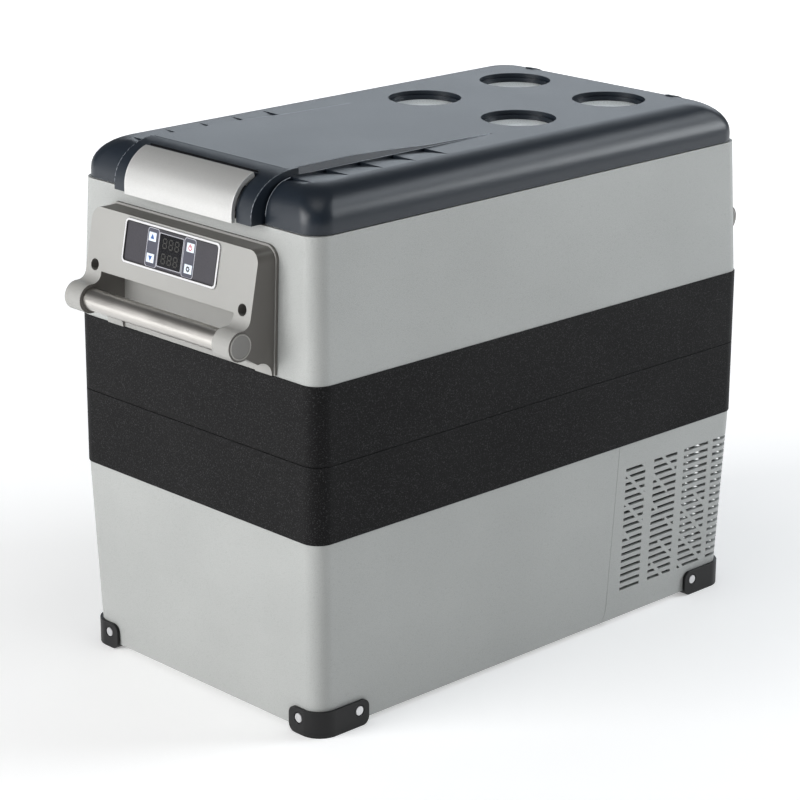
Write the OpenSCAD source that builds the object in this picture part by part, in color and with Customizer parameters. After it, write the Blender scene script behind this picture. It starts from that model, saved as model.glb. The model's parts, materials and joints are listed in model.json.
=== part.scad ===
// Compressor cooler fridge: a two-tone insulated cabinet on corner feet, with a hinged lid that
// has a latch and cup recesses, a carry handle at each end, a key panel and a vented compressor bay.
// Frame: +Z up, -X towards the latch and the key panel (the front), +X towards the hinges and vents.
// The origin is on the floor, under the middle of the cabinet. Lengths are in millimetres.

/* [Cabinet] */
// Length of the cabinet at its bottom edge
base_l = 577.2; // [574:0.2:580]
// Width of the cabinet at its bottom edge
base_w = 330.6; // [328:0.2:333]
// Length of both shells where they meet the bands
waist_l = 590.4; // [588:0.2:591]
// Width of both shells where they meet the bands
waist_w = 343.2; // [340:0.2:344]
// Length of the cabinet at the deck under the lid
deck_l = 581.4; // [579:0.2:584]
// Width of the cabinet at the deck under the lid
deck_w = 332.4; // [330:0.2:335]
// Length across the dark bands
band_l = 592.4; // [591.2:0.2:594]
// Width across the dark bands
band_w = 345; // [344.2:0.2:347]
// Radius of the cabinet's upright corners
corner_r = 18; // [16:0.5:20]
// Thickness of the outer walls
wall = 3; // [2.4:0.2:3.2]

/* [Levels] */
// Height of the feet under the cabinet
foot_h = 5; // [4.6:0.2:5.4]
// Height of the lower shell's top edge
lower_z = 193.5; // [190:0.5:197]
// Height of the joint between the two bands
split_z = 268.5; // [262:0.5:275]
// Height of the upper band's top edge
band_z = 344.5; // [343:0.5:346]
// Height of the deck that the lid closes on
deck_z = 479.5; // [479:0.5:480]
// Height of the lid's flat top
lid_z = 518.7; // [518:0.1:519.4]
// Height of the raised middle of the lid
spine_z = 525; // [523.5:0.5:526]

/* [Lid] */
// Length of the lid
lid_l = 579; // [577:0.5:580]
// Width of the lid
lid_w = 331.4; // [329:0.2:332]
// Half width of the raised middle and its cheeks
spine_y = 97; // [95:0.5:98]
// Half width of the latch handle
latch_y = 76; // [72:0.5:76]
// Diameter of a cup recess
cup_d = 74; // [68:0.5:76]
// Depth of a cup recess
cup_depth = 10; // [8:0.5:11]

/* [Handles] */
// Half width of a handle bracket
grip_y = 118; // [116:0.5:119]
// Distance of the grip bar's axis from the middle of the cabinet
bar_x = 336.5; // [336:0.1:337]
// Height of the grip bar's axis
bar_z = 380.5; // [380:0.1:381]
// Diameter of the grip bar
bar_d = 21; // [20:0.2:22]
// Outer radius of the lug that holds the bar
lug_r = 14; // [13.5:0.1:14.2]

/* [Vents] */
// Number of rows of vent slots
slot_rows = 18; // [12:1:18]
// Height of a vent slot
slot_h = 3.2; // [2.6:0.2:4]
// Distance from one slot row to the next
slot_pitch = 7.65; // [7.4:0.05:7.7]

/* [Hidden] */

light_grey = [0.74, 0.75, 0.74];
band_black = [0.12, 0.12, 0.125];
lid_blue = [0.3, 0.33, 0.37];
bare_metal = [0.78, 0.77, 0.75];
trim_black = [0.1, 0.1, 0.11];
copper = [0.8, 0.48, 0.32];
far = 400;          // reaches past the object in any direction
skin = 0.02;        // thickness of a hull's thin end slices
gap = 0.2;          // play between pieces that lie face to face
step_up = 1;        // how far a cut runs past the face it opens

// Insulated box
liner_wall = 2.5;
liner_half_l = 261;
liner_w = 282;
liner_r = 20;
deep_end = 73;      // where the deep part of the interior ends, outside its wall
deep_z = 40;        // underside of the deep floor
shelf_z = 247.5;    // underside of the shallow floor over the compressor bay
flange_t = 3;
plate_t = 1;        // evaporator sheet
plate_z = [90, 234];
channel = 12;       // room round the liner for the evaporator
bay_x = 101;        // insulated side of the compressor bay
bay_z = 222;        // roof of the compressor bay
sheet = 1.5;

// Lid and latch
lid_gap = 1;
lid_bottom = deck_z + lid_gap;
lid_r = 22;
lid_edge_z = 488;   // where the lid's sides start to curve in
lid_round_x = 32;
lid_round_y = 36;
cheek_x = 304;      // the cheeks' front, beyond the lid's own end
cheek_top_x = 253;  // where the cheeks' curve meets the flat top
spine_end = 7;
spine_rise = 6.3;
spine_slope = 4.6;  // how far the raised middle's sides lean out
groove_y = 2.4;
groove_end = -258;
groove_x = 17;      // how far the groove runs in from the cheeks' front
groove_depth = 10;
rib_x = [-258, -215.5, -173, -131.5, -91];
rib_outer_y = 130;
rib_depth = 3;
pocket_x = -276.5;  // back of the latch handle's pocket
latch_front = 309;
latch_centre = 270;
latch_rise = 36.8;
latch_t = 4;
latch_axis = [-283, 0, 513.4];
latch_pin_d = 4;
knuckle_d = 8.4;
cup_x = [71, 203];
cup_y = 65.5;
fit_gap = 0.05;     // radial clearance of a running fit

// Hinges
hinge_axis = [294.5, 0, 486];
hinge_y = 98;
knuckle_r = 4.4;
knuckle_l = 24;
hinge_l = 34;
hinge_pin_d = 5;

// Handles and key panel
face_top_x = 313;
face_top_z = 463;
face_foot_x = 324;
face_foot_z = 405;
tilt = atan((face_foot_x - face_top_x) / (face_top_z - face_foot_z));
lug_inner_y = 95;
flange_y = 119.8;
flange_z0 = 346;
flange_z1 = 465;
key_y = 27;
key_rows = [13.4, 33.2];
key_size = [10.4, 8.3];
key_travel = 0.6;
panel_size = [135, 42.3];
panel_mid = 23.1;

// Compressor bay
bay_floor = foot_h + gap + 2;
comp = [206, -72];
comp_r = 52;
fan_y = 78;
fan_c = [194, 104];
fan_size = 120;
fan_t = 25;
cond_y = [100, 138];
cond_x = [120, 268];
cond_z = [34, 176];

function shell_x(z) = z < band_z
  ? base_l / 2 + (waist_l - base_l) / 2 * (z - foot_h) / (lower_z - foot_h)
  : waist_l / 2 + (deck_l - waist_l) / 2 * (z - band_z) / (deck_z - band_z);
function arc(c, rx, rz, from, to, steps) =
  [for (i = [0 : steps]) let (a = from + (to - from) * i / steps) [c.x + rx * cos(a), c.y + rz * sin(a)]];

// ---- shared shapes ----

// Rectangle with round corners, centred
module rounded(l, w, r) {
  square([l - 2 * r, w], center = true);
  square([l, w - 2 * r], center = true);
  for (sx = [-1, 1], sy = [-1, 1]) translate([sx * (l / 2 - r), sy * (w / 2 - r)]) circle(r, $fn = 32);
}

// Upright block with round corners from z0 to z1
module slab(l, w, r, z0, z1) {
  translate([0, 0, z0]) linear_extrude(z1 - z0) rounded(l, w, r);
}

// Drafted block: l0 by w0 at z0, growing or shrinking to l1 by w1 at z1
module draft(l0, w0, z0, l1, w1, z1, r) {
  hull() {
    slab(l0, w0, r, z0, z0 + skin);
    slab(l1, w1, r, z1 - skin, z1);
  }
}

// Block given by its low and high corners
module box(lo, hi) {
  translate(lo) cube(hi - lo);
}

// Outline drawn in X and Z, extruded from y0 to y1
module side(y0, y1) {
  translate([0, y1, 0]) rotate([90, 0, 0]) linear_extrude(y1 - y0) children();
}

// Outline drawn in Y and Z, extruded from x0 to x1
module front(x0, x1) {
  translate([x0, 0, 0]) rotate([90, 0, 90]) linear_extrude(x1 - x0) children();
}

// Cylinder along Y, centred on at
module pin_y(at, d, l) {
  translate(at) rotate([90, 0, 0]) cylinder(d = d, h = l, center = true, $fn = 48);
}

// Straight round bar between two points
module rod(a, b, d) {
  v = b - a;
  translate(a) rotate([0, acos(v.z / norm(v)), atan2(v.y, v.x)]) cylinder(d = d, h = norm(v), $fn = 24);
}

// Tube with ball-shaped elbows along a list of points
module pipe(path, d) {
  for (p = path) translate(p) sphere(d = d, $fn = 24);
  for (i = [0 : len(path) - 2]) rod(path[i], path[i + 1], d);
}

// Puts a child made for the +X end at the end on side s
module at_end(s) {
  mirror([s < 0 ? 1 : 0, 0, 0]) children();
}

// Frame on the sloping face of the +X bracket: x across, y up the slope, z outwards
module on_face() {
  translate([face_top_x, 0, face_top_z]) rotate([90 - tilt, 0, 90]) children();
}

// ---- cabinet ----

module lower_block(shrink, z0, over) {
  draft(base_l - 2 * shrink, base_w - 2 * shrink, z0, waist_l - 2 * shrink, waist_w - 2 * shrink,
        lower_z + over, corner_r - shrink);
}

module upper_block(shrink, under, over) {
  draft(waist_l - 2 * shrink, waist_w - 2 * shrink, band_z - under, deck_l - 2 * shrink,
        deck_w - 2 * shrink, deck_z + over, corner_r - shrink);
}

// Everything on the vented side of the seam, moved by shift
module seam_side(shift) {
  side(-far, far) polygon(concat([for (p = [[98, 0], [103, 8], [106, 14], [107.2, 22], [115.2, 200]])
    [p.x + shift, p.y]], [[far, 200], [far, 0]]));
}

module lower_shell() color(light_grey) difference() {
  lower_block(0, foot_h, 0);
  lower_block(wall, foot_h + wall, step_up);
  seam_side(0);
}

// Slanting bars across the slots: each run is its sum of X and Z, then where it starts and ends in X
module diagonals() {
  bar_w = 5.4;
  runs = [[226, 120, 138], [226, 174, 200], [258, 120, 162], [258, 183, 230], [289, 120, 180],
    [289, 192, 262], [320, 140, 193], [320, 213, 262], [351, 175, 203], [351, 236, 262]];
  for (r = runs) side(-far, far)
    polygon([[r[1], r[0] - r[1] - bar_w / 2], [r[2], r[0] - r[2] - bar_w / 2],
      [r[2], r[0] - r[2] + bar_w / 2], [r[1], r[0] - r[1] + bar_w / 2]]);
}

// Slots across both long sides, and slots that wrap round both rear corners
module vent_slots() {
  columns = [[127, 157], [170, 206], [217, 255]];
  first_z = 33.5;
  wrap_x = 262.7;
  wrap_y = 112;
  difference() {
    for (i = [0 : slot_rows - 1], c = columns) let (z = first_z + i * slot_pitch)
      box([c[0], -far, z], [c[1], far, z + slot_h]);
    diagonals();
  }
  for (i = [0 : slot_rows - 1]) {
    z = first_z + i * slot_pitch;
    for (s = [-1, 1]) box([wrap_x, s > 0 ? wrap_y : -far, z], [far, s > 0 ? far : -wrap_y, z + slot_h]);
  }
}

inlet_y = -70;
inlet_z = 62;
inlet_size = [74, 40];
module inlet_hole(size, x0, x1) {
  box([x0, inlet_y - size.x / 2, inlet_z - size.y / 2], [x1, inlet_y + size.x / 2, inlet_z + size.y / 2]);
}

module vent_cover() color(light_grey) difference() {
  intersection() {
    lower_block(0, foot_h, -gap);
    seam_side(0.4);
  }
  lower_block(wall, foot_h - step_up, step_up);
  vent_slots();
  inlet_hole([inlet_size.x - 8, inlet_size.y - 8], 270, far);
}

module base_plate() color(bare_metal) difference() {
  plate_x = [103.5, 285];
  plate_w = 324;
  translate([(plate_x[0] + plate_x[1]) / 2, 0, 0])
    slab(plate_x[1] - plate_x[0], plate_w, corner_r - wall + step_up, foot_h + gap, bay_floor);
  for (x = [-1, 1], y = [-1, 1]) translate([comp.x + x * 44, comp.y + y * 44, 0])
    cylinder(d = 6.4, h = bay_floor + step_up, $fn = 32);
}

module band(z0, z1) color(band_black) difference() {
  slab(band_l, band_w, corner_r + 0.8, z0, z1);
  slab(band_l - 2 * wall, band_w - 2 * wall, corner_r - 2, z0 - step_up, z1 + step_up);
}
module lower_band() band(lower_z, split_z - gap);
module upper_band() band(split_z + gap, band_z);

module upper_shell() color(light_grey) difference() {
  upper_block(0, 0, 0);
  upper_block(wall, step_up, step_up);
}

// The liner's block grown by g: a deep part at the latch end and a shallow part over the bay
module liner_block(g, top) {
  deep_l = deep_end + liner_half_l + 2 * g;
  translate([(deep_end - liner_half_l) / 2, 0, 0])
    slab(deep_l, liner_w + 2 * g, liner_r + g, deep_z - g, top);
  translate([liner_half_l / 2 - 20, 0, 0])
    slab(liner_half_l + 40 + 2 * g, liner_w + 2 * g, liner_r + g, shelf_z - g, top);
}

module inner_liner() color([0.86, 0.87, 0.87]) difference() {
  union() {
    liner_block(0, deck_z);
    slab(deck_l - 2 * wall - 1, deck_w - 2 * wall - 1, corner_r - wall, deck_z - flange_t, deck_z);
  }
  liner_block(-liner_wall, deck_z + step_up);
}

module foam_insulation() color([0.9, 0.87, 0.72]) difference() {
  foam_top = deck_z - flange_t - gap;
  union() {
    lower_block(wall + gap, foot_h + wall + gap, -1.2);
    slab(band_l - 2 * wall - 6, band_w - 2 * wall - 6, corner_r - 3, lower_z - 2, band_z + 2);
    intersection() {
      upper_block(wall + gap, 0, 0);
      box([-far, -far, band_z], [far, far, foam_top]);
    }
  }
  liner_block(gap, deck_z);
  box([bay_x - gap, -far, 0], [far, far, bay_z + sheet + gap]);
  translate([(deep_end - liner_half_l) / 2, 0, 0])
    slab(deep_end + liner_half_l + 2 * channel, liner_w + 2 * channel, liner_r + channel,
         plate_z[0] - 6, plate_z[1] + 4);
}

// Sheet wrapped round the deep part of the liner
module evaporator_plate() color(bare_metal) translate([(deep_end - liner_half_l) / 2, 0, 0]) difference() {
  plate_l = deep_end + liner_half_l + 2 * gap;
  plate_w = liner_w + 2 * gap;
  slab(plate_l + 2 * plate_t, plate_w + 2 * plate_t, liner_r + gap + plate_t, plate_z[0], plate_z[1]);
  slab(plate_l, plate_w, liner_r + gap, plate_z[0] - step_up, plate_z[1] + step_up);
}

// Flattened tube bonded to the wrapped sheet: four rounds, joined by short risers
module evaporator_tube() color(copper) {
  tube_t = 6;
  levels = [104, 138, 172, 206];
  inner_l = deep_end + liner_half_l + 4 * gap + 2 * plate_t;
  inner_w = liner_w + 4 * gap + 2 * plate_t;
  inner_r = liner_r + 2 * gap + plate_t;
  riser_w = 6;
  opening = 16;
  turn = 18;
  translate([(deep_end - liner_half_l) / 2, 0, 0]) {
    for (i = [0 : len(levels) - 1]) difference() {
      z = levels[i];
      side_y = i % 2 == 0 ? turn : -turn;
      slab(inner_l + 2 * tube_t, inner_w + 2 * tube_t, inner_r + tube_t, z, z + tube_t);
      slab(inner_l, inner_w, inner_r, z - step_up, z + tube_t + step_up);
      box([0, side_y - opening / 2, z - step_up], [far, side_y + opening / 2, z + tube_t + step_up]);
    }
    for (i = [0 : len(levels) - 2]) {
      y = i % 2 == 0 ? -turn : turn;
      box([inner_l / 2, y - riser_w / 2, levels[i]],
          [inner_l / 2 + tube_t, y + riser_w / 2, levels[i + 1] + tube_t]);
    }
  }
}

module temperature_probe() color(bare_metal) {
  probe_x = -liner_half_l - 4.5;
  rod([probe_x, -40, 150], [probe_x, -40, 165], 5);
}

module bulkhead() color(bare_metal) {
  half = 156;
  box([bay_x, -half, foot_h + wall + gap], [bay_x + sheet, half, bay_z + sheet]);
  box([bay_x + sheet, -half, bay_z], [284, half, bay_z + sheet]);
}

// ---- compressor bay ----

module compressor() color(trim_black) translate([comp.x, comp.y, 0]) {
  foot_z = bay_floor + 12;
  body_z = foot_z + 4;
  dome = 26;
  straight = 66;
  rotate_extrude($fn = 64) polygon(concat([[0, body_z]], [[30, body_z], [comp_r - 6, body_z + 8]],
    [[comp_r, body_z + 18], [comp_r, body_z + 18 + straight]],
    [for (a = [10 : 10 : 80]) [comp_r * cos(a), body_z + 18 + straight + dome * sin(a)]],
    [[0, body_z + 18 + straight + dome]]));
  difference() {
    translate([0, 0, foot_z]) linear_extrude(body_z - foot_z + 1) rounded(108, 108, 12);
    for (x = [-1, 1], y = [-1, 1]) translate([x * 44, y * 44, 0]) cylinder(d = 10.4, h = far, $fn = 32);
  }
  translate([comp_r - 4, -20, 60]) cube([8, 40, 36]);
}

module compressor_grommets() color(trim_black)
  for (x = [-1, 1], y = [-1, 1]) translate([comp.x + x * 44, comp.y + y * 44, 0]) difference() {
    union() {
      translate([0, 0, bay_floor + gap]) cylinder(d = 16, h = 12 - 2 * gap, $fn = 32);
      translate([0, 0, bay_floor + gap]) cylinder(d = 10, h = 18, $fn = 32);
    }
    cylinder(d = 6.4, h = far, $fn = 32);
  }

module compressor_bolts() color(bare_metal)
  for (x = [-1, 1], y = [-1, 1]) translate([comp.x + x * 44, comp.y + y * 44, 0]) {
    translate([0, 0, foot_h + 0.4]) cylinder(d = 6, h = 22, $fn = 32);
    translate([0, 0, bay_floor + 18.6]) cylinder(d = 10, h = 4, $fn = 6);
  }

module control_board() color([0.1, 0.35, 0.2]) {
  board_x = bay_x + sheet + 4;
  box([board_x, -64, 60], [board_x + 1.6, 46, 190]);
  box([board_x + 1.6, -58, 150], [board_x + 26, -20, 184]);
  for (y = [-6, 14, 34]) translate([board_x + 1.6, y, 165])
    rotate([0, 90, 0]) cylinder(d = 14, h = 22, $fn = 32);
  for (i = [0 : 5]) box([board_x + 1.6, -56 + i * 8, 80], [board_x + 20, -54 + i * 8, 130]);
  box([board_x + 1.6, 8, 70], [board_x + 12, 40, 90]);
}

module condenser_fins() color(bare_metal) {
  fins = 24;
  for (i = [0 : fins - 1]) {
    x = cond_x[0] + 8 + i * (cond_x[1] - cond_x[0] - 16) / (fins - 1);
    box([x - 0.25, cond_y[0], cond_z[0]], [x + 0.25, cond_y[1], cond_z[1]]);
  }
}

// Serpentine of level runs through the fins, in two banks
module condenser_tube() color(copper) {
  d = 7;
  run_z = [46, 68, 90, 112, 134, 156];
  bank_y = [cond_y[0] + 10, cond_y[1] - 10];
  for (y = bank_y) pipe([for (i = [0 : len(run_z) - 1]) let (s = i % 2)
    each [[cond_x[s], y, run_z[i]], [cond_x[1 - s], y, run_z[i]]]], d);
  rod([cond_x[0], bank_y[0], run_z[0]], [cond_x[0], bank_y[1], run_z[0]], d);
}

module fan_frame() color(trim_black) translate([fan_c.x, fan_y, fan_c.y]) rotate([90, 0, 0]) {
  half_t = fan_t / 2;
  difference() {
    translate([0, 0, -half_t]) linear_extrude(fan_t) rounded(fan_size, fan_size, 6);
    cylinder(d = 112, h = fan_t + 2, center = true, $fn = 64);
    for (x = [-1, 1], y = [-1, 1]) translate([x * 52.5, y * 52.5, 0])
      cylinder(d = 4.4, h = fan_t + 2, center = true, $fn = 32);
  }
  translate([0, 0, half_t - 3]) cylinder(d = 44, h = 3, $fn = 48);
  for (a = [45 : 90 : 315]) rotate(a) translate([20, -2.5, half_t - 3]) cube([38, 5, 3]);
}

module fan_motor() color(trim_black) translate([fan_c.x, fan_y, fan_c.y]) rotate([90, 0, 0]) difference() {
  translate([0, 0, 1]) cylinder(d = 34, h = fan_t / 2 - 4.2, $fn = 48);
  translate([0, 0, -step_up]) cylinder(d = 3 + 2 * fit_gap, h = 9, $fn = 32);
}

module fan_rotor() color([0.2, 0.2, 0.22]) translate([fan_c.x, fan_y, fan_c.y]) rotate([90, 0, 0]) {
  blades = 7;
  difference() {
    translate([0, 0, -11]) cylinder(d = 42, h = 20, $fn = 48);
    translate([0, 0, -8.6]) cylinder(d = 37, h = 20, $fn = 48);
  }
  translate([0, 0, -9]) cylinder(d = 3, h = 16, $fn = 32);
  for (i = [0 : blades - 1]) rotate(i * 360 / blades)
    translate([19.5, 0, -1.5]) rotate([38, 0, 0]) translate([0, -13, -0.8]) cube([32, 26, 1.6]);
}

module filter_drier() color(copper) translate([272, 8, 0]) {
  translate([0, 0, 60]) cylinder(d = 18, h = 70, $fn = 32);
  translate([0, 0, 52]) cylinder(d = 8, h = 86, $fn = 32);
}

// Discharge line to the condenser, liquid line through the drier, and suction line to the evaporator
module refrigerant_lines() color(copper) {
  pipe([[comp.x + 20, comp.y + 50, 96], [comp.x + 20, comp.y + 84, 96], [comp.x + 20, comp.y + 84, 186],
        [cond_x[0], comp.y + 84, 186], [cond_x[0], cond_y[0] + 10, 186],
        [cond_x[0], cond_y[0] + 10, 163]], 6);
  pipe([[272, 8, 140.8], [272, 8, 206], [200, 8, 206], [bay_x + 8, 8, 206]], 5);
  pipe([[bay_x + 8, -90, 200], [170, -90, 200], [170, -90, 122]], 8);
}

module socket_body(y, size, depth, pins) {
  face_x = 294;
  x0 = face_x - depth - 8;
  difference() {
    box([x0, y - size.x / 2 - 3, inlet_z - size.y / 2 - 3],
        [face_x, y + size.x / 2 + 3, inlet_z + size.y / 2 + 3]);
    box([face_x - depth, y - size.x / 2, inlet_z - size.y / 2],
        [face_x + 1, y + size.x / 2, inlet_z + size.y / 2]);
  }
  for (i = [0 : pins - 1]) {
    pin_at = y + (i - (pins - 1) / 2) * 7.5;
    rod([x0 + 4, pin_at, inlet_z], [face_x - 6, pin_at, inlet_z], 2.2);
  }
}
ac_y = inlet_y - 16;
dc_y = inlet_y + 18;
module ac_inlet() color(trim_black) socket_body(ac_y, [24, 18], 15, 3);
module dc_inlet() color(trim_black) socket_body(dc_y, [18, 12], 14, 2);

module inlet_plate() color(trim_black) difference() {
  x0 = 291.6;
  front(x0, x0 + 2.2) translate([inlet_y, inlet_z]) rounded(inlet_size.x, inlet_size.y, 4);
  box([x0 - 1, ac_y - 15.2, inlet_z - 12.2], [x0 + 4, ac_y + 15.2, inlet_z + 12.2]);
  box([x0 - 1, dc_y - 12.2, inlet_z - 9.2], [x0 + 4, dc_y + 12.2, inlet_z + 9.2]);
}

// ---- feet ----

foot_leg_x = 228;
foot_leg_y = 128;
foot_top = 26;
foot_r = 8;
foot_screw_x = 240;
foot_screw_y = 141;
foot_screw_z = 16;
foot_in = [base_l / 2 + 0.95, base_w / 2 + 1];
foot_t = 3.1;

// Corner foot for the +X +Y corner: a wall round the corner over a floor pad
module corner_foot() color(trim_black) difference() {
  intersection() {
    slab(2 * (foot_in.x + foot_t), 2 * (foot_in.y + foot_t), corner_r + 4, 0, foot_top);
    side(0, far) translate([foot_leg_x + 50, foot_top / 2]) rounded(100, foot_top, foot_r);
    front(0, far) translate([foot_leg_y + 50, foot_top / 2]) rounded(100, foot_top, foot_r);
  }
  slab(2 * foot_in.x, 2 * foot_in.y, corner_r + 1, foot_h - gap, far);
  for (r = [[11, 1.7, 0], [4.4, 0, 5]]) {
    translate([foot_in.x + foot_t - r[1] - r[2], foot_screw_y, foot_screw_z])
      rotate([0, 90, 0]) cylinder(d = r[0], h = 20, $fn = 32);
    translate([foot_screw_x, foot_in.y + foot_t - r[1] - r[2], foot_screw_z])
      rotate([-90, 0, 0]) cylinder(d = r[0], h = 20, $fn = 32);
  }
}
module foot_at(sx, sy) mirror([sx < 0 ? 1 : 0, 0, 0]) mirror([0, sy < 0 ? 1 : 0, 0]) corner_foot();
module front_left_foot() foot_at(-1, 1);
module front_right_foot() foot_at(-1, -1);
module rear_left_foot() foot_at(1, 1);
module rear_right_foot() foot_at(1, -1);

// Pan head and short shank, pointing along +Z
module screw(head_d, head_h, shank_d, shank_l) {
  cylinder(d = head_d, h = head_h, $fn = 32);
  translate([0, 0, -shank_l]) cylinder(d = shank_d, h = shank_l + 0.5, $fn = 32);
}
module foot_screws() color(bare_metal) for (sx = [-1, 1], sy = [-1, 1]) {
  seat = 1.6;
  translate([sx * (foot_in.x + foot_t - seat), sy * foot_screw_y, foot_screw_z])
    rotate([0, sx * 90, 0]) screw(9, 1.2, 4, 1);
  translate([sx * foot_screw_x, sy * (foot_in.y + foot_t - seat), foot_screw_z])
    rotate([-sy * 90, 0, 0]) screw(9, 1.2, 4, 1);
}

// ---- handles ----

// Side outline of a bracket's cheek: flange, sloping face and the neck that flows into the lug
module cheek_outline() {
  neck_r = 10;
  neck_c = [bar_x - 2.2, bar_z + 23.9];
  arch_c = [313, flange_z0 + 1];
  arch_r = 13;
  polygon(concat([[296, flange_z0], [arch_c.x - arch_r, flange_z0]],
    arc(arch_c, arch_r, arch_r, 180, 75, 7),
    [[bar_x - 5.5, bar_z - 12.2], [bar_x, bar_z]], arc(neck_c, neck_r, neck_r, -86, -90 - 90 + tilt, 7),
    [[face_top_x, face_top_z], [292.4, face_top_z]]));
  translate([bar_x, bar_z]) circle(lug_r, $fn = 64);
}

module handle_bracket(with_panel) color(bare_metal) difference() {
  union() {
    intersection() {
      side(-flange_y, flange_y)
        polygon([for (p = [[0.25, flange_z0], [2.9, flange_z0], [2.9, flange_z1], [0.25, flange_z1]])
          [shell_x(p.y) + p.x, p.y]]);
      front(280, far) translate([0, flange_z1 - 150]) rounded(2 * flange_y, 300, 14);
    }
    intersection() {
      union() {
        side(-grip_y, grip_y) polygon([[292.4, face_top_z], [face_top_x, face_top_z],
          [face_foot_x, face_foot_z], [294.5, face_foot_z]]);
        for (s = [-1, 1]) side(s > 0 ? lug_inner_y : -grip_y, s > 0 ? grip_y : -lug_inner_y)
          cheek_outline();
      }
      front(280, far) translate([0, face_top_z - 150]) rounded(2 * grip_y, 300, 12);
    }
  }
  for (s = [-1, 1]) {
    pin_y([bar_x, s * 100, bar_z], bar_d + 0.4, 27);
    pin_y([bar_x, s * (grip_y + 3), bar_z], 24.4, 12);
    on_face() translate([s * 105.5, -54.4, -16]) cylinder(d = 11.5, h = 20, $fn = 48);
  }
  if (with_panel) {
    on_face() translate([0, -panel_mid, -1.2])
      linear_extrude(4) rounded(panel_size.x + 0.4, panel_size.y + 0.4, 5);
    on_face() translate([-62, -panel_mid - 18, -9]) cube([124, 36, 12]);
  }
}
module front_handle_bracket() at_end(-1) handle_bracket(true);
module rear_handle_bracket() handle_bracket(false);

module grip_bar(s) color(bare_metal) pin_y([s * bar_x, 0, bar_z], bar_d, 2 * 112);
module front_grip_bar() grip_bar(-1);
module rear_grip_bar() grip_bar(1);
module grip_caps() color(light_grey) for (sx = [-1, 1], sy = [-1, 1])
  pin_y([sx * bar_x, sy * (grip_y - 1.2), bar_z], 24, 3.2);
module handle_screws() color(bare_metal) for (sx = [-1, 1], s = [-1, 1])
  at_end(sx) on_face() translate([s * 105.5, -54.4, -15.8]) cylinder(d = 10, h = 4, $fn = 32);

// ---- key panel, in the sloping face's frame ----

module on_panel() at_end(-1) on_face() children();

module display_bezel() color(bare_metal) on_panel() translate([0, -panel_mid, -1.1]) difference() {
  linear_extrude(2.3) rounded(panel_size.x, panel_size.y, 5);
  translate([0, 0, -1]) linear_extrude(5) rounded(panel_size.x - 6, panel_size.y - 5.4, 3);
}

module display_overlay() color([0.27, 0.26, 0.29]) on_panel() difference() {
  translate([0, -panel_mid, -1.1]) linear_extrude(1.5) rounded(panel_size.x - 6.4, panel_size.y - 5.8, 2.8);
  for (s = [-1, 1], t = key_rows) translate([s * key_y, -t, 0])
    cube([key_size.x + 0.7, key_size.y + 0.7, 6], center = true);
  translate([0, -panel_mid, 0]) cube([33.4, 30.4, 6], center = true);
}

module display_window() color([0.06, 0.06, 0.07]) on_panel()
  translate([-16.5, -panel_mid - 15, -1]) cube([33, 30, 1.8]);

module display_board() color([0.1, 0.35, 0.2]) on_panel() {
  translate([-58, -panel_mid - 17, -8]) cube([116, 34, 1.6]);
  translate([-15, -panel_mid - 12, -6.5]) cube([30, 24, 5]);
  for (s = [-1, 1], t = key_rows) translate([s * key_y - 3, -t - 3, -6.5]) cube([6, 6, 2.2]);
}

module key(s, row) color([0.92, 0.93, 0.95]) on_panel() translate([s * key_y, -key_rows[row], 0]) {
  translate([-key_size.x / 2, -key_size.y / 2, -0.9]) cube([key_size.x, key_size.y, 1.7]);
  translate([0, 0, -3.2]) cylinder(d = 3.5, h = 2.5, $fn = 32);
}
module key_up() key(1, 0);
module key_down() key(1, 1);
module key_power() key(-1, 0);
module key_set() key(-1, 1);

// ---- hinges and latch ----

module latch_keeper() color(bare_metal) {
  half = 18;
  box([-287, -half, deck_z], [-278.5, half, deck_z + 2]);
  box([-287, -half, deck_z], [-284.8, half, deck_z + 13.5]);
  box([-289, -half, deck_z + 11.5], [-284.8, half, deck_z + 13.5]);
}

module hinge_base(s) color(trim_black) {
  side_x = 291.7;
  for (k = [-1, 1]) {
    y0 = s * hinge_y + (k > 0 ? knuckle_l / 2 + 0.4 : -hinge_l / 2);
    difference() {
      union() {
        box([side_x, y0, 466.5],
            [hinge_axis.x + knuckle_r, y0 + hinge_l / 2 - knuckle_l / 2 - 0.4, hinge_axis.z]);
        pin_y([hinge_axis.x, y0 + (hinge_l / 2 - knuckle_l / 2 - 0.4) / 2, hinge_axis.z], 2 * knuckle_r,
              hinge_l / 2 - knuckle_l / 2 - 0.4);
      }
      pin_y([hinge_axis.x, s * hinge_y, hinge_axis.z], hinge_pin_d + 2 * fit_gap, 2 * hinge_l);
    }
  }
  box([side_x, s * hinge_y - hinge_l / 2, 466.5],
      [hinge_axis.x + knuckle_r, s * hinge_y + hinge_l / 2, 476.5]);
}
module left_hinge_base() hinge_base(1);
module right_hinge_base() hinge_base(-1);

module hinge_pins() color(bare_metal) for (s = [-1, 1])
  pin_y([hinge_axis.x, s * hinge_y, hinge_axis.z], hinge_pin_d, hinge_l - 1);

module hinge_leaf(s) color(trim_black) difference() {
  union() {
    pin_y([hinge_axis.x, s * hinge_y, hinge_axis.z], 2 * knuckle_r, knuckle_l);
    box([lid_l / 2 + 0.1, s * hinge_y - knuckle_l / 2, lid_bottom + 1],
        [hinge_axis.x - 2.6, s * hinge_y + knuckle_l / 2, hinge_axis.z + 4]);
  }
  pin_y([hinge_axis.x, s * hinge_y, hinge_axis.z], hinge_pin_d + 2 * fit_gap, 2 * hinge_l);
}
module left_hinge_leaf() hinge_leaf(1);
module right_hinge_leaf() hinge_leaf(-1);

module latch_pin() color(bare_metal) pin_y(latch_axis, latch_pin_d, 2 * (latch_y + 10));

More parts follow.
